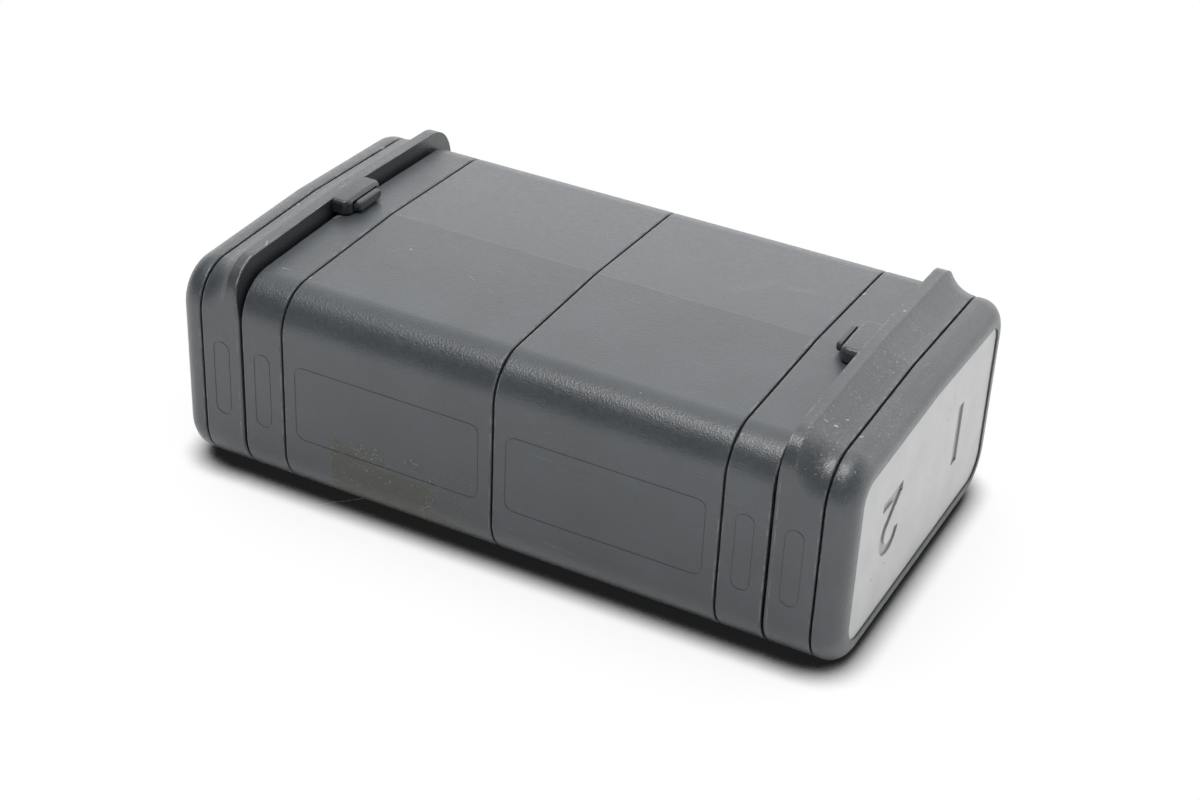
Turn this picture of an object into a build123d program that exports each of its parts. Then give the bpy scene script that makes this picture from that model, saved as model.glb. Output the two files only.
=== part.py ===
from build123d import *
from math import acos, cos, degrees, radians, sin, tan
import os

# X-ray film protection case, a long box with a hinged lid at each end, in millimetres.
# X runs along the case, Y from front (-) to back (+), and Z up from the underside.
# Everything is made for the right end, and turned half a turn about Z for the left end.

# Cross-section
case_width = 80.0
shoulder_height = 45.06
crown = 1.24
top_corner = 9.0
bottom_corner = 10.4

# Half the case along X, and the lengths of the bands at its end, each to the middle of a groove
case_end = 72.3
rim_length = 5.6
lid_length = 9.55
collar_length = 9.65
slit = 0.35
lid_gap = 0.5

# Walls and fits
wall = 2.2
lap_depth = 1.25
lap_length = 5.0
fit = 0.05
edge_round = 0.4
lead_thickness = 1.0
tray_wall = 1.6
divider = 1.4
lid_play = 0.5

# Mouth of the tray
flange_thickness = 1.55
flange_gap = 0.3
neck_length = 3.75
mouth_bevel = 0.8

# Raised lip of the lid
lip_setback = 0.5
lip_rise = 3.3
lip_flat = 2.4
lip_corner = 7.4
cove_radius = 7.3
cove_steps = 5

# Web of the lid, and what lies behind it
neck_room = 1.7
web = 1.6
lid_lead_thickness = 1.2

# Rim and number plate
rim_round = 4.2
rim_wall = 3.4
plate_inset = 5.0
plate_recess = 0.4
plate_thickness = 1.3
ledge_thickness = 1.7
ledge_width = 2.0

# Numbers on the plates
number_height = 13.6
number_width = 9.6
number_place = 17.8
number_stroke = 2.3
one_stroke = 3.0
number_depth = 0.45

# Hinge, whose knuckles are tangent to the underside
knuckle_radius = 1.7
knuckle_gap = 0.3
inner_knuckle = 10.0
outer_knuckle = 22.0
pin_radius = 0.65
pin_play = 0.05
hinge_bevel = 50.0

# Latch block on the lid and the tongue inside it
block_half = 6.4
block_reach = 3.3
block_drop = 3.0
block_seat = 1.7
block_round = 1.6
block_top_round = 1.0
block_roof = 0.7
channel_half = 4.4
channel_drop = 3.1
tongue_half = 4.1
bead_radius = 1.1
bead_back = 2.2
bead_drop = 2.4
bead_play = 0.06
socket_grip = 0.2
slot_below = 0.1
slot_above = 0.35
tongue_low = 0.55
tongue_thickness = 1.15
head_gap = 0.4
head_length = 1.1
head_height = 2.1
head_round = 0.85
head_face_round = 0.5
hook_length = 0.7
hook_drop = 0.25
catch_height = 0.15
catch_length = 0.5
catch_overlap = 0.15
catch_half = 3.0

# Fine engraved outlines on the front and back
groove_width = 0.25
groove_depth = 0.08
mark_low = 14.3
mark_high = 31.1
mark_width = 3.9
label_start = 2.9
label_margin = 2.7
label_corner = 2.0

# Sizes that follow from those above
half_width = case_width / 2
ridge_height = shoulder_height + crown
rim_groove = case_end - rim_length
lid_groove = rim_groove - lid_length
body_groove = lid_groove - collar_length
body_start = slit / 2
body_end = body_groove - slit / 2
collar_start = body_groove + slit / 2
collar_end = lid_groove - lid_gap / 2
lid_start = lid_groove + lid_gap / 2
lid_end = rim_groove - slit / 2
rim_start = rim_groove + slit / 2
lead_inset = wall + fit
tray_inset = lead_inset + lead_thickness + fit
pocket_inset = tray_inset + tray_wall
flange_end = collar_end - lid_play / 2
flange_start = flange_end - flange_thickness
lead_end = flange_start - flange_gap
neck_inset = wall + lid_play
neck_end = lid_groove + neck_length
lip_start = lid_start + lip_setback
lip_end = lip_start + lip_flat
lip_top = ridge_height + lip_rise
web_start = neck_end + neck_room
web_end = web_start + web
plate_end = case_end - plate_recess
plate_start = plate_end - plate_thickness
ledge_start = plate_start - ledge_thickness
hinge_x = lid_groove
hinge_z = knuckle_radius
knuckle_clearance = knuckle_radius + knuckle_gap
block_start = lid_start - block_reach
bead_x = lid_start + bead_back
bead_z = lip_top - bead_drop
socket_radius = bead_radius + bead_play
socket_mouth = bead_x - socket_radius + socket_grip
tongue_bottom = ridge_height + tongue_low
tongue_top = tongue_bottom + tongue_thickness
catch_end = block_start + catch_overlap
head_end = block_start - head_gap
head_start = head_end - head_length


def section_at(x, inset=0.0, lift=0.0, corner=top_corner):
    # Cross-section of the case, drawn in by inset, with its top raised by lift
    low = inset
    high = shoulder_height - inset + lift
    side = half_width - inset
    outline = (
        (-side, low),
        (side, low),
        (side, high),
        (0, high + crown),
        (-side, high),
    )
    with BuildSketch(Plane.YZ.offset(x)) as section:
        with BuildLine():
            Polyline(*outline, close=True)
        make_face()
        bottom = section.vertices().filter_by_position(Axis.Y, low - fit, low + fit)
        fillet(bottom, bottom_corner - inset)
        top = section.vertices().filter_by_position(Axis.Y, high - fit, high + fit)
        fillet(top, corner - inset)
    return section


def block_along(x_start, x_end, inset=0.0, lift=0.0, mode=Mode.ADD):
    # Solid with the case's cross-section from one station to another
    section = section_at(x_start, inset, lift)
    extrude(section.sketch, amount=x_end - x_start, mode=mode)


def tube_along(x_start, x_end, outer, inner):
    # Tube that follows the case's cross-section
    block_along(x_start, x_end, outer)
    block_along(x_start, x_end, inner, mode=Mode.SUBTRACT)


def box_between(x_range, y_range, z_range, mode=Mode.ADD):
    # Box given by its limits along each axis
    middle = [sum(limits) / 2 for limits in (x_range, y_range, z_range)]
    size = [limits[1] - limits[0] for limits in (x_range, y_range, z_range)]
    with Locations(tuple(middle)):
        Box(*size, mode=mode)


def rod_across(x, z, radius, y_start, y_end, mode=Mode.ADD):
    # Round rod along Y
    with BuildSketch(Plane.XZ.offset(-y_start)) as end:
        with Locations((x, z)):
            Circle(radius)
    extrude(end.sketch, amount=y_start - y_end, mode=mode)


def round_end(face, radius):
    # Rounds the outer edge of an end face
    fillet(face.outer_wire().edges(), radius)


def hinge_wedge(direction):
    # Takes away what lies below the hinge axis, up to a plane that leans away from it
    reach = hinge_z * tan(radians(hinge_bevel))
    below = hinge_z + edge_round
    points = (
        (hinge_x, hinge_z),
        (hinge_x + direction * reach, 0),
        (hinge_x + direction * reach, hinge_z - below),
        (hinge_x - direction * lid_gap, hinge_z - below),
        (hinge_x - direction * lid_gap, hinge_z),
    )
    with BuildSketch(Plane.XZ) as wedge:
        with BuildLine():
            Polyline(*points, close=True)
        make_face()
    extrude(wedge.sketch, amount=half_width, both=True, mode=Mode.SUBTRACT)


def side_grooves(x, width, corner):
    # Fine engraved outline, a rounded oblong, on the front and the back
    height = mark_high - mark_low
    middle = (mark_high + mark_low) / 2
    for side in (-1, 1):
        with BuildSketch(Plane.XZ.offset(side * half_width)) as outline:
            with Locations((x, middle)):
                RectangleRounded(width, height, corner)
                RectangleRounded(
                    width - 2 * groove_width,
                    height - 2 * groove_width,
                    corner - groove_width,
                    mode=Mode.SUBTRACT,
                )
        extrude(outline.sketch, amount=-side * groove_depth, mode=Mode.SUBTRACT)


def make_body_shell():
    with BuildPart() as body_shell:
        block_along(body_start, body_end)
        round_end(body_shell.faces().sort_by(Axis.X)[0], edge_round)
        round_end(body_shell.faces().sort_by(Axis.X)[-1], edge_round)
        block_along(body_start, body_end, wall, mode=Mode.SUBTRACT)
        block_along(body_start, lap_length + fit, lap_depth, mode=Mode.SUBTRACT)
        rebate_start = body_groove - lap_length - fit
        block_along(rebate_start, body_end, lap_depth, mode=Mode.SUBTRACT)
        label_end = body_end - label_margin
        side_grooves((label_start + label_end) / 2, label_end - label_start, label_corner)
    return body_shell.part


def make_centre_joint_ring():
    with BuildPart() as centre_joint_ring:
        tube_along(-lap_length, lap_length, lap_depth + fit, wall)
    return centre_joint_ring.part


def make_lead_sleeve():
    with BuildPart() as lead_sleeve:
        tube_along(-lead_end, lead_end, lead_inset, lead_inset + lead_thickness)
    return lead_sleeve.part


def make_film_tray():
    floor_end = body_start + tray_wall
    with BuildPart() as film_tray:
        block_along(body_start, flange_start, tray_inset)
        block_along(flange_start, flange_end, lead_inset)
        block_along(flange_end, neck_end, neck_inset)
        block_along(floor_end, neck_end, pocket_inset, mode=Mode.SUBTRACT)
        mouth = film_tray.faces().sort_by(Axis.X)[-1]
        chamfer(mouth.inner_wires()[0].edges(), mouth_bevel)
        box_between(
            (floor_end, flange_start),
            (-divider / 2, divider / 2),
            (tray_inset + tray_wall / 2, ridge_height - tray_inset - tray_wall / 2),
        )
        rod_across(
            hinge_x,
            hinge_z,
            knuckle_clearance,
            -half_width,
            half_width,
            mode=Mode.SUBTRACT,
        )
    return film_tray.part


def make_collar():
    lap_start = body_groove - lap_length
    with BuildPart() as collar:
        block_along(collar_start, collar_end)
        round_end(collar.faces().sort_by(Axis.X)[0], edge_round)
        round_end(collar.faces().sort_by(Axis.X)[-1], edge_round)
        block_along(lap_start, collar_start, lap_depth + fit)
        block_along(lap_start, collar_end, wall, mode=Mode.SUBTRACT)
        side_grooves((collar_start + collar_end) / 2, mark_width, mark_width / 2 - fit)
        hinge_wedge(-1)
        for side in (-1, 1):
            rod_across(
                hinge_x,
                hinge_z,
                knuckle_clearance,
                side * inner_knuckle,
                side * (outer_knuckle + knuckle_gap),
                mode=Mode.SUBTRACT,
            )
        rod_across(hinge_x, hinge_z, knuckle_radius, -inner_knuckle, inner_knuckle)
        rod_across(
            hinge_x,
            hinge_z,
            pin_radius + pin_play,
            -inner_knuckle,
            inner_knuckle,
            mode=Mode.SUBTRACT,
        )
        box_between(
            (catch_end - catch_length, catch_end),
            (-catch_half, catch_half),
            (ridge_height - wall / 2, ridge_height + catch_height),
        )
    return collar.part


def make_lip():
    # Raised lip, whose cove runs down to the lid's own outline
    cove_angle = degrees(acos(1 - lip_rise / cove_radius))
    cove_end = lip_end + cove_radius * sin(radians(cove_angle))
    with BuildPart() as lip:
        crest = section_at(lid_start, lift=lip_rise, corner=lip_corner)
        extrude(crest.sketch, amount=lip_end - lid_start)
        cove = []
        for step in range(cove_steps + 1):
            angle = radians(cove_angle * (1 - step / cove_steps))
            lift = cove_radius * (1 - cos(angle))
            corner = top_corner - (top_corner - lip_corner) * lift / lip_rise
            section = section_at(cove_end - cove_radius * sin(angle), lift=lift, corner=corner)
            cove.append(section.sketch)
        loft(cove)
    return lip.part


def lean_back():
    # Leans the lid's inner face back over the height of the top corners
    points = (
        (lid_start - lid_gap, shoulder_height - top_corner),
        (lid_start, shoulder_height - top_corner),
        (lip_start, shoulder_height),
        (lip_start, lip_top + lid_gap),
        (lid_start - lid_gap, lip_top + lid_gap),
    )
    with BuildSketch(Plane.XZ) as wedge:
        with BuildLine():
            Polyline(*points, close=True)
        make_face()
    extrude(wedge.sketch, amount=half_width, both=True, mode=Mode.SUBTRACT)


def make_latch_block():
    # Block on the lid's lip that covers the latch tongue
    block_end = lip_start + block_seat
    with BuildPart() as latch_block:
        box_between(
            (block_start, block_end),
            (-block_half, block_half),
            (lip_top - block_drop, lip_top),
        )
        block_along(block_start, block_end, lift=lip_rise, mode=Mode.INTERSECT)
        upright = latch_block.edges().filter_by(Axis.Z).group_by(Axis.X)[0]
        fillet(upright, block_round)
        slopes = latch_block.faces().group_by(Axis.Z)[-1]
        rim = [edge for edge in slopes.edges() if abs(edge.center().Y) > fit]
        fillet([edge for edge in rim if edge.center().X < lip_start], block_top_round)
    return latch_block.part


def make_lid_shell():
    lip = make_lip()
    latch_block = make_latch_block()
    with BuildPart() as lid_shell:
        block_along(lid_start, lid_end)
        add(lip)
        round_end(lid_shell.faces().sort_by(Axis.X)[0], edge_round)
        round_end(lid_shell.faces().sort_by(Axis.X)[-1], edge_round)
        lean_back()
        add(latch_block)
        block_along(lid_start - lid_gap, web_start, wall, mode=Mode.SUBTRACT)
        block_along(web_end, lid_end, wall, mode=Mode.SUBTRACT)
        box_between(
            (block_start - lid_gap, socket_mouth),
            (-channel_half, channel_half),
            (lip_top - channel_drop - fit, lip_top - block_roof),
            mode=Mode.SUBTRACT,
        )
        box_between(
            (socket_mouth - fit, bead_x),
            (-channel_half, channel_half),
            (tongue_bottom - slot_below, tongue_top + slot_above),
            mode=Mode.SUBTRACT,
        )
        rod_across(bead_x, bead_z, socket_radius, -channel_half, channel_half, mode=Mode.SUBTRACT)
        side_grooves((lid_start + lid_end) / 2, mark_width, mark_width / 2 - fit)
        hinge_wedge(1)
        rod_across(
            hinge_x,
            hinge_z,
            knuckle_clearance,
            -inner_knuckle - knuckle_gap,
            inner_knuckle + knuckle_gap,
            mode=Mode.SUBTRACT,
        )
        for side in (-1, 1):
            near = side * (inner_knuckle + knuckle_gap)
            far = side * outer_knuckle
            rod_across(hinge_x, hinge_z, knuckle_radius, near, far)
            rod_across(hinge_x, hinge_z, pin_radius, near, far, mode=Mode.SUBTRACT)
    return lid_shell.part


def make_lid_lead_plate():
    with BuildPart() as lid_lead_plate:
        block_along(web_end + fit, web_end + fit + lid_lead_thickness, lead_inset)
    return lid_lead_plate.part


def make_lid_bezel():
    tongue_start = web_end + lid_lead_thickness + 2 * fit
    with BuildPart() as lid_bezel:
        block_along(rim_start, case_end)
        round_end(lid_bezel.faces().sort_by(Axis.X)[0], edge_round)
        round_end(lid_bezel.faces().sort_by(Axis.X)[-1], rim_round)
        block_along(tongue_start, rim_start, lead_inset)
        block_along(tongue_start, ledge_start, rim_wall, mode=Mode.SUBTRACT)
        block_along(ledge_start, plate_start, plate_inset + ledge_width, mode=Mode.SUBTRACT)
        block_along(plate_start, case_end, plate_inset - fit, mode=Mode.SUBTRACT)
    return lid_bezel.part


def number_strokes(number):
    # Centre lines of a number's strokes, upright about its own middle
    top = (number_height - number_stroke) / 2
    side = (number_width - number_stroke) / 2
    bar = -number_height / 6
    bowl = top / 2
    if number == 1:
        return [[Line((0, -number_height / 2), (0, number_height / 2))]]
    if number == 2:
        bend = CenterArc((0, top - side), side, 170, -210)
        tail = Line(bend @ 1, (-side, -top))
        base = Line((-number_width / 2, -top), (number_width / 2, -top))
        return [[bend, tail], [base]]
    if number == 3:
        return [
            [CenterArc((0, middle), bowl, start, turn)]
            for middle, start, turn in ((bowl, 170, -260), (-bowl, 90, -260))
        ]
    return [
        [Line((-number_width / 2, bar), (number_width / 2, bar))],
        [Line((-side, bar), (side / 2, top))],
        [Line((side / 2, -number_height / 2), (side / 2, number_height / 2))],
    ]


def number_outline(number):
    # Outline of a number, drawn with strokes of one width
    with BuildSketch() as outline:
        for stroke in number_strokes(number):
            trace(stroke, line_width=one_stroke if number == 1 else number_stroke)
    return outline.sketch


def make_number_plate(front_number, back_number):
    # The numbers read upright when the case is turned over, with its latches below
    outlines = (
        (number_outline(front_number), -number_place),
        (number_outline(back_number), number_place),
    )
    with BuildPart() as number_plate:
        block_along(plate_start + fit, plate_end, plate_inset)
        for outline, place in outlines:
            upright = Location((place, ridge_height / 2, 0), (0, 0, 180))
            with BuildSketch(Plane.YZ.offset(plate_end) * upright):
                add(outline)
            extrude(amount=-number_depth, mode=Mode.SUBTRACT)
    return number_plate.part


def make_hinge_pin():
    with BuildPart() as hinge_pin:
        rod_across(hinge_x, hinge_z, pin_radius, -outer_knuckle, outer_knuckle)
    return hinge_pin.part


def make_latch_tongue():
    head_bottom = tongue_bottom - fit
    with BuildPart() as latch_tongue:
        box_between(
            (head_start, head_end),
            (-tongue_half, tongue_half),
            (head_bottom, head_bottom + head_height),
        )
        fillet(latch_tongue.edges().filter_by(Axis.X), head_round)
        fillet(latch_tongue.faces().sort_by(Axis.X)[0].edges(), head_face_round)
        box_between(
            (head_end - fit, bead_x),
            (-tongue_half, tongue_half),
            (tongue_bottom, tongue_top),
        )
        box_between(
            (head_end - hook_length, head_end),
            (-catch_half, catch_half),
            (head_bottom - hook_drop, head_bottom + head_height / 2),
        )
        rod_across(bead_x, bead_z, bead_radius, -tongue_half, tongue_half)
    return latch_tongue.part


def write_piece(piece, name, turn=0):
    # Writes one piece to its own file, turned about Z where it belongs to the left end
    with BuildPart() as placed:
        add(piece, rotation=(0, 0, turn))
    placed.part.label = name
    export_step(placed.part, f"parts/{name}.step")


os.makedirs("parts", exist_ok=True)
write_piece(make_centre_joint_ring(), "centre_joint_ring")
write_piece(make_lead_sleeve(), "lead_sleeve")
twins = {
    "body_shell": make_body_shell(),
    "film_tray": make_film_tray(),
    "collar": make_collar(),
    "lid_shell": make_lid_shell(),
    "lid_lead_plate": make_lid_lead_plate(),
    "lid_bezel": make_lid_bezel(),
    "hinge_pin": make_hinge_pin(),
    "latch_tongue": make_latch_tongue(),
}
for end, turn, numbers in (("right", 0, (2, 1)), ("left", 180, (4, 3))):
    for piece_name, piece in twins.items():
        write_piece(piece, f"{end}_{piece_name}", turn)
    write_piece(make_number_plate(*numbers), f"{end}_number_plate", turn)
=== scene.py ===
import math

import bpy
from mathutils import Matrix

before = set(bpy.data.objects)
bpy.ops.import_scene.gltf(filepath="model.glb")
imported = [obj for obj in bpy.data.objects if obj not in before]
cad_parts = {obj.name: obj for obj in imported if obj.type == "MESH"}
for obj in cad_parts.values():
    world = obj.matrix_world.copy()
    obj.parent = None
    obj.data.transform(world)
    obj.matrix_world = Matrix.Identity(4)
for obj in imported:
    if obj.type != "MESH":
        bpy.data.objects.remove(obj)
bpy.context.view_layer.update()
print("case loaded:", len(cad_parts), "nodes")

mm = 0.001
ends = ("right", "left")


# small helpers for building node trees

def addNode(tree, kind, links=(), **settings):
    made = tree.nodes.new("ShaderNode" + kind)
    for name, value in settings.items():
        setattr(made, name, value)
    for place, value in links:
        if isinstance(value, bpy.types.NodeSocket):
            tree.links.new(value, made.inputs[place])
        else:
            made.inputs[place].default_value = value
    return made


def calc(tree, operation, first, second=0.0):
    return addNode(tree, "Math", ((0, first), (1, second)), operation=operation).outputs[0]


def spread(tree, value, low, high, toLow=0.0, toHigh=1.0):     # low to high, laid out from toLow to toHigh
    links = (("Value", value), ("From Min", low), ("From Max", high), ("To Min", toLow), ("To Max", toHigh))
    return addNode(tree, "MapRange", links).outputs[0]


def band(tree, value, middle, half, soft):                     # 1 near the middle, 0 beyond half + soft
    away = calc(tree, "ABSOLUTE", calc(tree, "SUBTRACT", value, middle))
    return spread(tree, away, half, half + soft, 1.0, 0.0)


def blendColour(tree, share, first, second):
    return addNode(tree, "Mix", ((0, share), (6, first), (7, second)), data_type="RGBA").outputs[2]


def cloud(tree, point, size, detail=2.0, rough=0.5):           # soft noise with features of one size
    links = (("Vector", point), ("Scale", 1 / size), ("Detail", detail), ("Roughness", rough))
    return addNode(tree, "TexNoise", links).outputs["Fac"]


def radiansOf(angles):
    return tuple(math.radians(angle) for angle in angles)


def placed(tree, point, turn=(0, 0, 0), stretch=(1, 1, 1)):
    links = (("Vector", point), ("Rotation", radiansOf(turn)), ("Scale", stretch))
    return addNode(tree, "Mapping", links).outputs[0]


def product(tree, *shares):
    total = shares[0]
    for share in shares[1:]:
        total = calc(tree, "MULTIPLY", total, share)
    return total


def newTree(name):
    material = bpy.data.materials.new(name)
    material.use_nodes = True
    tree = material.node_tree
    tree.nodes.clear()
    point = addNode(tree, "TexCoord").outputs["Object"]
    return material, tree, point


def finishTree(tree, colour, rough, height, look):             # shader and bump at the end of a tree
    links = (("Height", height), ("Distance", look["bumpHeight"]), ("Strength", look["bumpShare"]))
    bump = addNode(tree, "Bump", links)
    shader = addNode(tree, "BsdfPrincipled", (
        ("Base Color", colour),
        ("Roughness", rough),
        ("IOR", look["ior"]),
        ("Metallic", look.get("metal", 0.0)),
        ("Normal", bump.outputs[0]),
    ))
    addNode(tree, "OutputMaterial", (("Surface", shader.outputs[0]),))


# wear that several pieces of the case share

specks = {
    "colour": (0.58, 0.53, 0.43, 1),
    "tanColour": (0.50, 0.37, 0.19, 1),
    "dustColour": (0.50, 0.45, 0.36, 1),
    "cell": 5.5 * mm,
    "radius": 0.024,          # part of a cell
    "kept": 0.78,             # share of the cells left bare
}


def speckMask(tree, point, cell, radius, kept):                # crumbs of dust, one in some of the cells
    links = (("Vector", point), ("Scale", 1 / cell))
    spots = addNode(tree, "TexVoronoi", links)
    dot = spread(tree, spots.outputs["Distance"], radius * 0.6, radius, 1.0, 0.0)
    pick = addNode(tree, "SeparateColor", ((0, spots.outputs["Color"]),)).outputs[0]
    return product(tree, dot, calc(tree, "GREATER_THAN", pick, kept))


hairlines = (
    {"turn": 18, "size": 0.30 * mm, "stretch": 0.03},
    {"turn": -41, "size": 0.26 * mm, "stretch": 0.04},
)
hairlinePatch = 16 * mm       # size of the areas that have hairlines


def hairlineMask(tree, point, hairline):                       # faint rubbed hairlines
    along = placed(tree, point, turn=(0, 0, hairline["turn"]), stretch=(hairline["stretch"], 1, 1))
    fine = cloud(tree, along, hairline["size"], 1.0)
    patch = cloud(tree, point, hairlinePatch, 1.0)
    return product(tree, spread(tree, fine, 0.70, 0.80), spread(tree, patch, 0.50, 0.62))


# single scratches and crumbs, seen from above or from the front, in millimetres

strokes = {
    "left_body_shell": (
        {"from": (-43.0, 0.6), "to": (-37.2, 1.1), "wide": 0.06, "share": 0.30},
        {"from": (-40.6, -16.0), "to": (-34.6, -5.9), "wide": 0.05, "share": 0.28},
        {"from": (-33.6, -3.5), "to": (-31.3, 4.0), "wide": 0.06, "share": 0.26},
        {"from": (-36.3, -10.9), "to": (-36.1, -10.7), "wide": 0.17, "share": 0.65},
        {"from": (-20.8, -14.0), "to": (-18.9, -14.9), "wide": 0.07, "share": 0.45},
        {"from": (-15.2, -16.5), "to": (-13.1, -17.5), "wide": 0.06, "share": 0.40},
        {"from": (-47.0, -30.5), "to": (-46.8, -30.3), "wide": 0.20, "share": 0.60},
    ),
    "left_collar": (
        {"from": (-53.8, -29.9), "to": (-52.2, -29.8), "wide": 0.11, "share": 0.60},
        {"from": (-55.3, -17.4), "to": (-55.1, -17.3), "wide": 0.12, "share": 0.40},
        {"from": (-56.4, -7.8), "to": (-55.0, -4.6), "wide": 0.25, "share": 0.35, "tan": True},
    ),
    "left_lid_shell": (
        {"from": (-59.0, -27.5), "to": (-58.2, -29.0), "wide": 0.12, "share": 0.60},
        {"from": (-58.35, -34.0), "to": (-58.25, -39.0), "wide": 0.15, "share": 0.55},
        {"from": (-58.45, -24.5), "to": (-58.45, -31.5), "wide": 0.08, "share": 0.40},
        {"from": (-59.5, -11.5), "to": (-59.3, -10.9), "wide": 0.09, "share": 0.50},
        {"from": (-59.2, -1.4), "to": (-59.0, 0.4), "wide": 0.22, "share": 0.30, "tan": True},
        {"from": (-66.3, -6.9), "to": (-66.1, -6.5), "wide": 0.28, "share": 0.75, "tan": True},
    ),
    "left_lid_bezel": (
        {"from": (-67.0, 26.4), "to": (-66.9, 27.3), "wide": 0.22, "share": 0.70},
    ),
    "right_body_shell": (
        {"from": (35.0, 15.6), "to": (39.4, 16.8), "wide": 0.90, "share": 0.07, "tan": True},
        {"from": (26.0, 9.0), "to": (30.5, 15.5), "wide": 1.60, "share": 0.05, "tan": True},
        {"from": (46.8, -4.6), "to": (46.9, -1.0), "wide": 0.12, "share": 0.35},
        {"from": (46.6, 8.6), "to": (46.7, 9.8), "wide": 0.12, "share": 0.35},
        {"from": (12.0, 9.9), "to": (18.0, 9.3), "wide": 0.24, "share": 0.12, "front": True},
    ),
    "right_collar": (
        {"from": (47.9, 21.4), "to": (48.2, 22.1), "wide": 0.26, "share": 0.85, "tan": True},
        {"from": (51.6, 16.4), "to": (51.8, 16.6), "wide": 0.10, "share": 0.45},
    ),
    "right_lid_shell": (
        {"from": (59.3, 13.2), "to": (59.5, 13.5), "wide": 0.20, "share": 0.75},
        {"from": (62.6, -27.9), "to": (62.9, -27.4), "wide": 0.24, "share": 0.75},
        {"from": (60.9, -28.9), "to": (61.4, -28.5), "wide": 0.14, "share": 0.60},
        {"from": (63.4, -24.4), "to": (63.7, -24.0), "wide": 0.14, "share": 0.60},
    ),
    "right_lid_bezel": (
        {"from": (67.4, -27.2), "to": (67.6, -26.8), "wide": 0.20, "share": 0.65},
        {"from": (68.6, 0.8), "to": (68.9, 2.4), "wide": 0.10, "share": 0.40},
        {"from": (70.2, -4.6), "to": (70.6, 0.6), "wide": 0.08, "share": 0.20},
    ),
}


strokeShape = {"ragged": 0.7 * mm, "sway": 2.5, "lowest": 38 * mm}


def strokeMask(tree, point, stroke):
    (startX, startY), (stopX, stopY) = stroke["from"], stroke["to"]
    middle = ((startX + stopX) / 2 * mm, (startY + stopY) / 2 * mm, 0)
    half = math.hypot(stopX - startX, stopY - startY) / 2 * mm
    slope = math.degrees(math.atan2(stopY - startY, stopX - startX))
    facing = placed(tree, point, turn=(-90, 0, 0)) if stroke.get("front") else point
    moved = addNode(tree, "VectorMath", ((0, facing), (1, middle)), operation="SUBTRACT").outputs[0]
    along, across, depth = addNode(tree, "SeparateXYZ", ((0, placed(tree, moved, turn=(0, 0, -slope))),)).outputs
    ragged = cloud(tree, point, strokeShape["ragged"], 3.0, 0.7)
    wide = stroke["wide"] * mm
    sway = product(tree, calc(tree, "SUBTRACT", ragged, 0.5), wide * strokeShape["sway"])
    across = calc(tree, "ADD", across, sway)
    return product(
        tree,
        band(tree, across, 0.0, wide * 0.5, wide * 0.6),
        band(tree, along, 0.0, half, wide + half * 0.15),
        spread(tree, ragged, 0.34, 0.46),
        calc(tree, "GREATER_THAN", depth, strokeShape["lowest"]),
    )


# dark plastic of the shells, collars, lids and rims

casePlastic = {
    "colour": (0.0530, 0.0605, 0.0675, 1),
    "paleColour": (0.0865, 0.0985, 0.1090, 1),
    "backColour": (0.0900, 0.0985, 0.1090, 1),
    # colour of the painted shade on the left lid lip's inner face
    "lipShadeColour": (0.018, 0.021, 0.024, 1),
    "edgeColour": (0.21, 0.22, 0.23, 1),
    "scratchColour": (0.30, 0.31, 0.32, 1),
    "rough": 0.34,
    "ior": 1.6,
    "grain": 0.32 * mm,
    "bumpHeight": 0.065 * mm,
    "bumpShare": 0.75,
    "broadMottle": 14 * mm,
    "fineMottle": 1.1 * mm,
    "backHeight": (37 * mm, 45.5 * mm),      # the back half of the top is paler from here upward
    "backShare": 0.60,
    # height and share of the painted shade on the lip's inner face
    "lipShadeHeight": (36 * mm, 40 * mm),
    "lipShadeShare": 0.7,
    "edgeHalf": 0.08 * mm,
    "edgeSoft": 0.12 * mm,
    "edgeShare": 0.55,
    "hairlineShare": 0.16,
    "crumbShare": 0.6,
}
field = {"low": 14.3 * mm, "high": 31.1 * mm, "face": 39.7 * mm, "soft": 0.1 * mm, "inset": 0.35 * mm,
         "bumpLeft": 0.45, "share": 0.10}      # smooth ground inside the engraved outlines
seam = {"half": 0.04 * mm, "soft": 0.05 * mm, "height": (44 * mm, 45 * mm)}      # pale line along the top
dust = {
    "height": (38 * mm, 44 * mm),
    "ends": (58.9 * mm, 59.5 * mm),
    "depth": (34 * mm, -14 * mm),
    "patch": 9 * mm,
    "film": 0.6 * mm,
    "filmShare": 0.26,
    "cell": 1.0 * mm,
    "radius": 0.20,
    "kept": 0.45,
    "crumbShare": 0.85,
}


def dustOver(tree, point, axes, colour, dusty):                # dust lying on the top of the right lid
    reach, y, z = axes
    upper = product(tree, spread(tree, z, *dust["height"]), spread(tree, reach, *dust["ends"]))
    near = spread(tree, y, *dust["depth"], 0.25, 1.0)
    film = spread(tree, cloud(tree, point, dust["film"], 4.0, 0.75), 0.50, 0.70)
    crumbs = speckMask(tree, point, dust["cell"], dust["radius"], dust["kept"])
    patch = spread(tree, cloud(tree, point, dust["patch"], 2.0), 0.38, 0.62, 0.25, 1.0)
    lying = product(tree, patch, upper, near, dusty)
    colour = blendColour(tree, product(tree, film, lying, dust["filmShare"]), colour, specks["colour"])
    return blendColour(tree, product(tree, crumbs, lying, dust["crumbShare"]), colour, specks["dustColour"])


def casePoint(tree, point):
    return tuple(addNode(tree, "SeparateXYZ", ((0, point),)).outputs)


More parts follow.
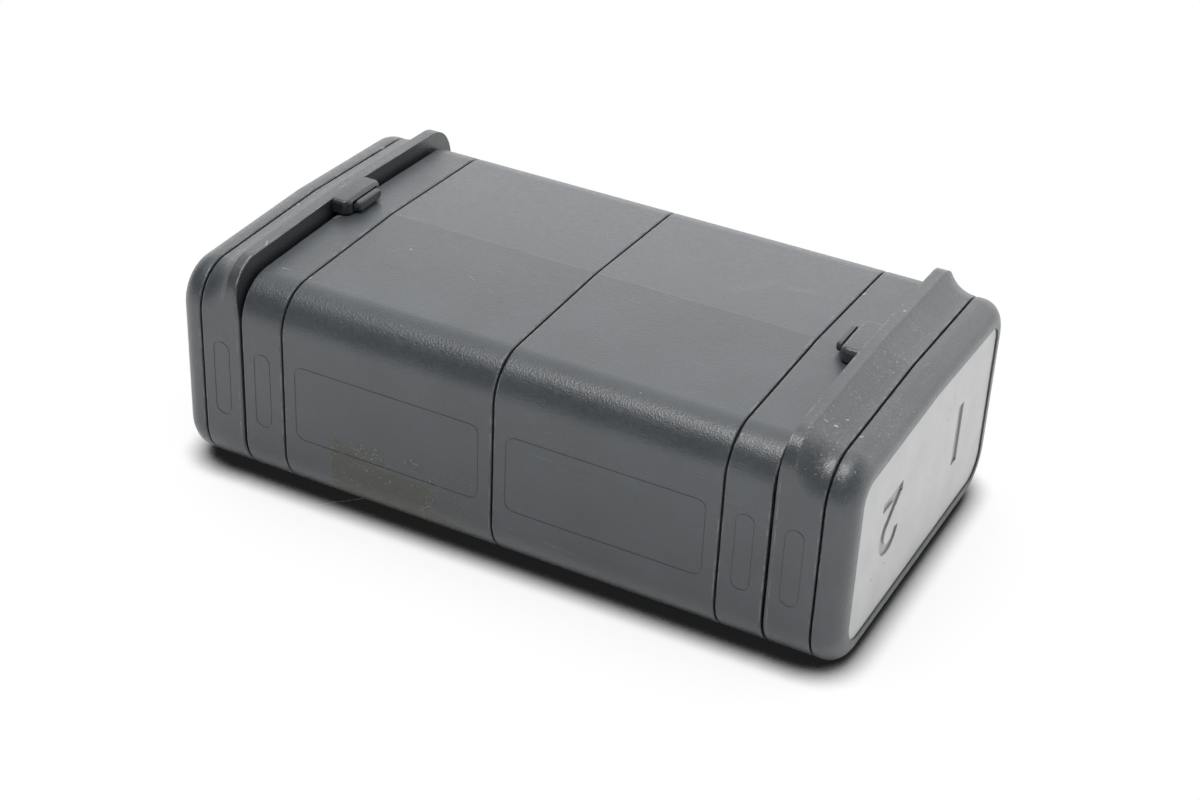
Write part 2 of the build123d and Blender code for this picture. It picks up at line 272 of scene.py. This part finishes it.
def caseFinish(name, edges, panel, backHalf=False, dusty=0.0, glue=False, lip=None, marks=()):
    look = casePlastic
    material, tree, point = newTree(name)
    x, y, z = casePoint(tree, point)
    reach = calc(tree, "ABSOLUTE", x)

    # mottled colour
    broad = cloud(tree, point, look["broadMottle"], 3.0, 0.55)
    fine = cloud(tree, point, look["fineMottle"], 3.0, 0.6)
    share = calc(tree, "ADD", spread(tree, broad, 0.3, 0.7, 0.05, 0.40), spread(tree, fine, 0.3, 0.7, -0.08, 0.08))
    colour = blendColour(tree, share, look["colour"], look["paleColour"])
    if backHalf:
        behind = product(tree, spread(tree, y, -0.1 * mm, 0.1 * mm), spread(tree, z, *look["backHeight"]))
        colour = blendColour(tree, product(tree, behind, look["backShare"]), colour, look["backColour"])
    # painted shade: the upper part of the lip's inner face is darkened
    if lip:
        inner = product(tree, spread(tree, reach, lip["soft"], lip["shadeFull"]), spread(tree, z, *look["lipShadeHeight"]))
        colour = blendColour(tree, product(tree, inner, look["lipShadeShare"]), colour, look["lipShadeColour"])

    # spark-eroded grain
    grain = cloud(tree, point, look["grain"], 2.0, 0.6)
    pitLinks = (("Vector", point), ("Scale", 1 / (look["grain"] * 1.3)))
    pits = addNode(tree, "TexVoronoi", pitLinks).outputs["Distance"]
    height = calc(tree, "ADD", grain, product(tree, pits, 0.5))
    rough = spread(tree, fine, 0.3, 0.7, look["rough"] - 0.05, look["rough"] + 0.07)

    # smooth field inside the engraved outlines
    facing = spread(tree, calc(tree, "ABSOLUTE", y), field["face"], field["face"] + field["soft"])
    across = band(tree, reach, panel["middle"], panel["half"], field["soft"])
    middle = (field["low"] + field["high"]) / 2
    upright = band(tree, z, middle, middle - field["low"] - field["inset"], field["soft"])
    ground = product(tree, facing, across, upright)
    height = product(tree, height, spread(tree, ground, 0.0, 1.0, 1.0, field["bumpLeft"]))
    colour = blendColour(tree, product(tree, ground, field["share"]), colour, look["colour"])

    # pale worn edges
    wear = spread(tree, cloud(tree, point, 3 * mm, 3.0, 0.7), 0.46, 0.62)
    for edge in edges:
        line = product(tree, band(tree, reach, edge * mm, look["edgeHalf"], look["edgeSoft"]), wear)
        colour = blendColour(tree, product(tree, line, look["edgeShare"]), colour, look["edgeColour"])

    # hairlines, crumbs, dust and single scratches
    for hairline in hairlines:
        mask = hairlineMask(tree, point, hairline)
        colour = blendColour(tree, product(tree, mask, look["hairlineShare"]), colour, look["scratchColour"])
    crumbs = speckMask(tree, point, specks["cell"], specks["radius"], specks["kept"])
    colour = blendColour(tree, product(tree, crumbs, look["crumbShare"]), colour, specks["colour"])
    if dusty:
        colour = dustOver(tree, point, (reach, y, z), colour, dusty)
    for stroke in marks:
        tint = specks["tanColour"] if stroke.get("tan") else look["scratchColour"]
        if stroke["share"] > 0.5 and not stroke.get("tan"):
            tint = specks["colour"]
        mask = product(tree, strokeMask(tree, point, stroke), stroke["share"])
        colour = blendColour(tree, mask, colour, tint)

    if backHalf:
        line = product(tree, band(tree, y, 0.0, seam["half"], seam["soft"]), spread(tree, z, *seam["height"]))
        faded = spread(tree, cloud(tree, point, 5 * mm, 3.0), 0.40, 0.58, 0.15, 0.75)
        colour = blendColour(tree, product(tree, line, faded), colour, look["edgeColour"])
    if glue:
        colour, rough = glueOver(tree, point, (x, y, z), colour, rough)
    finishTree(tree, colour, rough, height, look)
    return material


# yellowish glue left on the front of the left shell

glue = {
    "thick": (0.054, 0.057, 0.042, 1),
    "crust": (0.46, 0.43, 0.32, 1),
    "start": -36.5 * mm,
    "step": -14.0 * mm,
    "stop": -5.5 * mm,
    "top": 13.4 * mm,
    "tailTop": 8.2 * mm,
    "tailSlope": 0.42,
    "lip": 18.5 * mm,
    "edge": 0.22 * mm,
    "face": (-36.5 * mm, -37.5 * mm),
    "soft": 0.1 * mm,
    "fade": 2 * mm,
    "ragged": 1.6 * mm,
    "torn": 3.5 * mm,
    "flake": 0.7 * mm,
    "share": 0.85,
    "rougher": 0.06,
}


def glueOver(tree, point, axes, colour, rough):
    x, y, z = axes
    front = spread(tree, y, *glue["face"])
    ragged = calc(tree, "SUBTRACT", cloud(tree, point, glue["ragged"], 4.0, 0.7), 0.5)
    ragged = calc(tree, "MULTIPLY", ragged, glue["ragged"])
    xEdge = calc(tree, "ADD", x, calc(tree, "MULTIPLY", ragged, 0.35))
    zEdge = calc(tree, "ADD", z, ragged)
    soft = glue["soft"]
    inside = product(tree, spread(tree, xEdge, glue["start"] - soft, glue["start"] + soft), front)
    before = spread(tree, xEdge, glue["step"] + soft, glue["step"] - soft)
    body = product(tree, inside, before, spread(tree, zEdge, glue["top"] + soft, glue["top"] - soft))
    lean = calc(tree, "MULTIPLY", calc(tree, "SUBTRACT", x, glue["step"]), glue["tailSlope"])
    zTail = calc(tree, "ADD", zEdge, lean)
    ending = spread(tree, xEdge, glue["stop"] + glue["fade"], glue["stop"] - glue["fade"])
    tail = product(tree, inside, ending, spread(tree, zTail, glue["tailTop"] + soft, glue["tailTop"] - soft))
    torn = spread(tree, cloud(tree, point, glue["torn"], 4.0, 0.7), 0.47, 0.60)
    lip = product(tree, inside, ending, spread(tree, zEdge, glue["lip"] + soft, glue["lip"] - soft), torn)
    whole = calc(tree, "MAXIMUM", calc(tree, "MAXIMUM", body, tail), product(tree, lip, 0.7))
    colour = blendColour(tree, product(tree, whole, glue["share"]), colour, glue["thick"])
    after = calc(tree, "SUBTRACT", 1.0, before)
    tailRim = product(tree, band(tree, zTail, glue["tailTop"], glue["edge"], soft), inside, ending, after)
    startRim = product(tree, band(tree, xEdge, glue["start"], glue["edge"], soft), body, 0.8)
    rims = calc(tree, "MAXIMUM", calc(tree, "MAXIMUM", tailRim, product(tree, lip, 0.45)), startRim)
    flakes = spread(tree, cloud(tree, point, glue["flake"], 4.0, 0.7), 0.56, 0.66)
    colour = blendColour(tree, product(tree, rims, flakes), colour, glue["crust"])
    return colour, calc(tree, "ADD", rough, product(tree, whole, glue["rougher"]))


def paint(name, material):                                     # one material over the whole of a node
    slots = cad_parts[name].data.materials
    slots.clear()
    slots.append(material)


bandEdges = {
    "body_shell": (0.42, 47.08),
    "collar": (47.92, 56.65),
    "lid_shell": (58.12, 66.28),
    "lid_bezel": (67.12,),
}
bandPanels = {
    "body_shell": {"middle": 23.76 * mm, "half": 20.5 * mm},
    "collar": {"middle": 52.29 * mm, "half": 1.6 * mm},
    "lid_shell": {"middle": 61.96 * mm, "half": 1.6 * mm},
    "lid_bezel": {"middle": 200 * mm, "half": 1 * mm},
}
lipShadeFace = {"shadeFull": 58.35 * mm, "soft": 58.55 * mm}             # painted shade on the left lid lip's inner face, which faces the case and gets little light
dustyPieces = {"right_lid_shell": 0.75, "right_lid_bezel": 0.5}
for end in ends:
    for piece in bandEdges:
        paint(end + "_" + piece, caseFinish(
            end + piece.title().replace("_", "") + "Plastic",
            bandEdges[piece],
            bandPanels[piece],
            backHalf=piece == "body_shell",
            dusty=dustyPieces.get(end + "_" + piece, 0.0),
            glue=(end, piece) == ("left", "body_shell"),
            lip=lipShadeFace if (end, piece) == ("left", "lid_shell") else None,
            marks=strokes[end + "_" + piece],
        ))
print("dark plastic done")


# light grey plates with their numbers

platePlastic = {
    "colour": (0.495, 0.497, 0.500, 1),
    # colour of the painted shade on the floors of the engraved numbers
    "paleColour": (0.58, 0.582, 0.585, 1),
    "sunkShadeColour": (0.36, 0.362, 0.365, 1),
    "rough": 0.48,
    "ior": 1.5,
    "grain": 0.28 * mm,
    "bumpHeight": 0.02 * mm,
    "bumpShare": 0.45,
    "face": 71.9 * mm,
    "darkColour": (0.05, 0.05, 0.05, 1),
    "broadMottle": 10 * mm,
    "fineMottle": 0.7 * mm,
    "sunkShadeShare": 0.8,
    "markShare": 0.75,
    "dentShadeShare": 0.7,
    "markCell": 7 * mm,
    "markRadius": 0.04,
    "markKept": 0.75,
    # y, z and radius of small dents on the right plate, each painted as a dark spot of shade, in millimetres
    "dents": ((-24.7, 14.4, 0.20), (-18.2, 14.2, 0.16), (9.9, 30.8, 0.18), (10.8, 32.4, 0.14), (12.4, 34.5, 0.16)),
}


def plateFinish():
    look = platePlastic
    material, tree, point = newTree("platePlastic")
    x, y, z = casePoint(tree, point)
    broad = cloud(tree, point, look["broadMottle"], 3.0, 0.6)
    fine = cloud(tree, point, look["fineMottle"], 2.0, 0.6)
    share = spread(tree, broad, 0.35, 0.65, 0.1, 0.7)
    share = calc(tree, "ADD", share, spread(tree, fine, 0.3, 0.7, -0.12, 0.12))
    colour = blendColour(tree, share, look["colour"], look["paleColour"])
    # painted shade: the floors of the engraved numbers are darkened
    sunk = spread(tree, calc(tree, "ABSOLUTE", x), look["face"] - 0.12 * mm, look["face"] - 0.2 * mm)
    colour = blendColour(tree, product(tree, sunk, look["sunkShadeShare"]), colour, look["sunkShadeColour"])
    marks = speckMask(tree, point, look["markCell"], look["markRadius"], look["markKept"])
    colour = blendColour(tree, product(tree, marks, look["markShare"]), colour, look["darkColour"])
    flat = addNode(tree, "CombineXYZ", ((1, y), (2, z))).outputs[0]
    rightEnd = calc(tree, "GREATER_THAN", x, 0.0)
    # painted shade: a dark spot at each small dent
    for dentY, dentZ, size in look["dents"]:
        centre = (0, dentY * mm, dentZ * mm)
        away = addNode(tree, "VectorMath", ((0, flat), (1, centre)), operation="DISTANCE").outputs["Value"]
        dentShade = product(tree, spread(tree, away, size * mm, size * 1.6 * mm, 1.0, 0.0), rightEnd)
        colour = blendColour(tree, product(tree, dentShade, look["dentShadeShare"]), colour, look["darkColour"])
    height = cloud(tree, point, look["grain"], 2.0, 0.6)
    rough = spread(tree, fine, 0.3, 0.7, look["rough"] - 0.04, look["rough"] + 0.06)
    finishTree(tree, colour, rough, height, look)
    return material


plateMaterial = plateFinish()
for end in ends:
    paint(end + "_number_plate", plateMaterial)


# plain finishes for what the bands hide or nearly hide

innerFinishes = {
    "tray": {"colour": (0.020, 0.020, 0.021, 1), "paleColour": (0.034, 0.034, 0.036, 1), "rough": 0.58, "ior": 1.5,
             "grain": 0.45 * mm, "bumpHeight": 0.02 * mm, "bumpShare": 0.4},
    "latch": {"colour": (0.052, 0.056, 0.061, 1), "paleColour": (0.085, 0.090, 0.097, 1), "rough": 0.42, "ior": 1.5,
              "grain": 0.30 * mm, "bumpHeight": 0.015 * mm, "bumpShare": 0.4},
    "lead": {"colour": (0.16, 0.165, 0.175, 1), "paleColour": (0.27, 0.275, 0.29, 1), "rough": 0.55, "ior": 1.5,
             "metal": 0.7, "grain": 0.9 * mm, "bumpHeight": 0.05 * mm, "bumpShare": 0.5},
    "pin": {"colour": (0.45, 0.45, 0.45, 1), "paleColour": (0.62, 0.62, 0.62, 1), "rough": 0.28, "ior": 1.5,
            "metal": 1.0, "grain": 0.2 * mm, "bumpHeight": 0.004 * mm, "bumpShare": 0.4},
}
innerMottle = {"broad": 6 * mm, "fine": 0.8 * mm}


def innerFinish(name, look):
    material, tree, point = newTree(name)
    broad = cloud(tree, point, innerMottle["broad"], 3.0, 0.6)
    fine = cloud(tree, point, innerMottle["fine"], 3.0, 0.6)
    share = calc(tree, "ADD", spread(tree, broad, 0.3, 0.7, 0.1, 0.7), spread(tree, fine, 0.3, 0.7, -0.2, 0.2))
    colour = blendColour(tree, share, look["colour"], look["paleColour"])
    rough = spread(tree, fine, 0.3, 0.7, look["rough"] - 0.05, look["rough"] + 0.08)
    height = cloud(tree, point, look["grain"], 3.0, 0.6)
    finishTree(tree, colour, rough, height, look)
    return material


innerMaterials = {name: innerFinish(name + "Finish", look) for name, look in innerFinishes.items()}
innerPieces = {"film_tray": "tray", "latch_tongue": "latch", "lid_lead_plate": "lead", "hinge_pin": "pin"}
for end in ends:
    for piece, finishName in innerPieces.items():
        paint(end + "_" + piece, innerMaterials[finishName])
paint("centre_joint_ring", innerMaterials["tray"])
paint("lead_sleeve", innerMaterials["lead"])
print("plates and inner finishes done")


# smooth curves on the solids, crisp edges left crisp

smoothing = {"merge": 0.001 * mm, "crease": math.radians(30)}
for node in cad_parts.values():
    joined = node.modifiers.new("joinedFaces", "WELD")
    joined.merge_threshold = smoothing["merge"]
    creased = node.modifiers.new("creasedEdges", "EDGE_SPLIT")
    creased.split_angle = smoothing["crease"]
    creased.use_edge_sharp = False
    evened = node.modifiers.new("evenedNormals", "WEIGHTED_NORMAL")
    evened.mode = "FACE_AREA"
    node.data.shade_smooth()
print("solids smoothed")


# floor, world, lamps and camera

floor = {
    "size": 60.0,
    "low": -0.02 * mm,
    "colour": (0.90, 0.90, 0.90, 1),
    "paleColour": (0.93, 0.93, 0.93, 1),
    "clearColour": (1, 1, 1, 1),
    "deepest": 0.012,         # share of the background left in the painted shadow under the case
    "shadowReach": 8 * mm,
    "shadeReach": 45 * mm,
    "lidReach": 80 * mm,
    "shadow": (0.42, 0.85),
    "shade": (0.45, 0.75, 0.9, 1.0),
    "lidSeen": (0.97, 1.0),
    "beside": (44 * mm, 62 * mm, 0.06, 0.0),      # the case keeps its painted shadow here beside an opened lid
    "mottle": 40 * mm,
    "mirroredColour": (1.08, 1.08, 1.08, 1),
    "rough": 0.6,
}
bpy.ops.mesh.primitive_plane_add(size=floor["size"], location=(0, 0, floor["low"]))
floorSheet = bpy.context.active_object
floorSheet.name = "floorSheet"
floorMaterial, floorTree, floorPoint = newTree("floorPaper")
floorShare = cloud(floorTree, floorPoint, floor["mottle"], 2.0)
floorColour = blendColour(floorTree, floorShare, floor["colour"], floor["paleColour"])
rays = addNode(floorTree, "LightPath").outputs
mirrored = calc(floorTree, "MAXIMUM", rays["Is Glossy Ray"], rays["Is Transmission Ray"])
floorColour = blendColour(floorTree, mirrored, floorColour, floor["mirroredColour"])
floorShader = addNode(floorTree, "BsdfDiffuse", (("Color", floorColour), ("Roughness", floor["rough"])))

# the lids open below the floor, so the camera sees it as a clear film with a painted shadow of the case,
# darkened from ambient occlusion rather than cast by the lamps, and lifted where a lid lies under the film


def openness(reach, **settings):
    return addNode(floorTree, "AmbientOcclusion", (("Distance", floor[reach]),), **settings).outputs["AO"]


near = openness("shadowReach", samples=16)
far = openness("shadeReach", samples=16)
below = openness("lidReach", samples=32, inside=True)
# painted shadow: the film darkens where the case closes in the floor, not where the lamps are blocked
shade = product(floorTree, spread(floorTree, near, *floor["shadow"]), spread(floorTree, far, *floor["shade"]))
shade = spread(floorTree, shade, 0.0, 1.0, floor["deepest"], 1.0)
floorReach = calc(floorTree, "ABSOLUTE", casePoint(floorTree, floorPoint)[0])
beside = spread(floorTree, floorReach, *floor["beside"])
bare = spread(floorTree, calc(floorTree, "ADD", below, beside), *floor["lidSeen"])
above = calc(floorTree, "SUBTRACT", 1.0, addNode(floorTree, "NewGeometry").outputs["Backfacing"])
cover = product(floorTree, bare, above, rays["Is Camera Ray"])
filmColour = blendColour(floorTree, cover, floor["clearColour"], shade)
film = addNode(floorTree, "BsdfTransparent", (("Color", filmColour),))
direct = calc(floorTree, "MAXIMUM", rays["Is Camera Ray"], rays["Is Shadow Ray"])
solid = product(floorTree, above, calc(floorTree, "SUBTRACT", 1.0, direct))
floorMix = addNode(floorTree, "MixShader", ((0, solid), (1, film.outputs[0]), (2, floorShader.outputs[0])))
addNode(floorTree, "OutputMaterial", (("Surface", floorMix.outputs[0]),))
floorSheet.data.materials.append(floorMaterial)

sky = {
    "front": 0.02,
    "frontLow": 0.16,
    "back": 1.75,
    "right": 0.12,
    "overhead": 0.2,
    "horizon": 1.0,           # pale band that low views meet, and a thinner one that reflections meet
    "seenBand": (0.18, 0.26, 1.0, 0.0),
    "mirroredBand": (0.01, 0.05, 1.0, 0.0),
}
world = bpy.data.worlds.new("studioWorld")
bpy.context.scene.world = world
world.use_nodes = True
skyTree = world.node_tree
skyTree.nodes.clear()
direction = addNode(skyTree, "TexCoord").outputs["Generated"]
skyX, skyY, skyZ = addNode(skyTree, "SeparateXYZ", ((0, direction),)).outputs
glow = calc(skyTree, "ADD", spread(skyTree, skyY, 0.0, 0.6, sky["front"], sky["back"]),
            spread(skyTree, skyX, 0.1, 0.8, 0.0, sky["right"]))
glow = product(skyTree, glow, spread(skyTree, skyZ, 0.62, 0.95, 1.0, sky["overhead"]))
frontLow = product(skyTree, spread(skyTree, skyY, 0.0, -0.4), spread(skyTree, skyZ, 0.45, 0.2), sky["frontLow"])
glow = product(skyTree, calc(skyTree, "ADD", glow, frontLow), spread(skyTree, skyZ, -0.01, 0.0))
skyRays = addNode(skyTree, "LightPath").outputs
mirrored = calc(skyTree, "MAXIMUM", skyRays["Is Glossy Ray"], skyRays["Is Transmission Ray"])
seenPale = product(skyTree, skyRays["Is Camera Ray"], spread(skyTree, skyZ, *sky["seenBand"]))
mirroredPale = product(skyTree, mirrored, spread(skyTree, skyZ, *sky["mirroredBand"]))
pale = calc(skyTree, "MAXIMUM", seenPale, mirroredPale)
glow = product(skyTree, glow, calc(skyTree, "SUBTRACT", 1.0, pale))
glow = calc(skyTree, "ADD", glow, product(skyTree, pale, sky["horizon"]))
skyShader = addNode(skyTree, "Background", (("Color", (1, 1, 1, 1)), ("Strength", glow)))
addNode(skyTree, "OutputWorld", (("Surface", skyShader.outputs[0]),))

lamps = {
    "topBoxLamp": {"turn": (-8, -4, 0), "strength": 0.9, "width": 56},
    "keyLamp": {"turn": (15, -7, 0), "strength": 1.6, "width": 18},
}
for lampName, lamp in lamps.items():
    bpy.ops.object.light_add(type="SUN", location=(0, 0, 1), rotation=radiansOf(lamp["turn"]))
    lampObject = bpy.context.active_object
    lampObject.name = lampName
    lampObject.data.energy = lamp["strength"]
    lampObject.data.angle = math.radians(lamp["width"])

camera = {
    "place": (0.17429, -0.34527, 0.25536),
    "turn": (58.3101, -2.4318, 27.9955),
    "lens": 66.88,
    "sensor": 36.0,
}
bpy.ops.object.camera_add(location=camera["place"], rotation=radiansOf(camera["turn"]))
cameraObject = bpy.context.active_object
cameraObject.data.lens = camera["lens"]
cameraObject.data.sensor_width = camera["sensor"]
cameraObject.data.clip_start = 0.01
bpy.context.scene.camera = cameraObject
bpy.context.scene.view_settings.view_transform = "Standard"
print("floor, lamps and camera done")
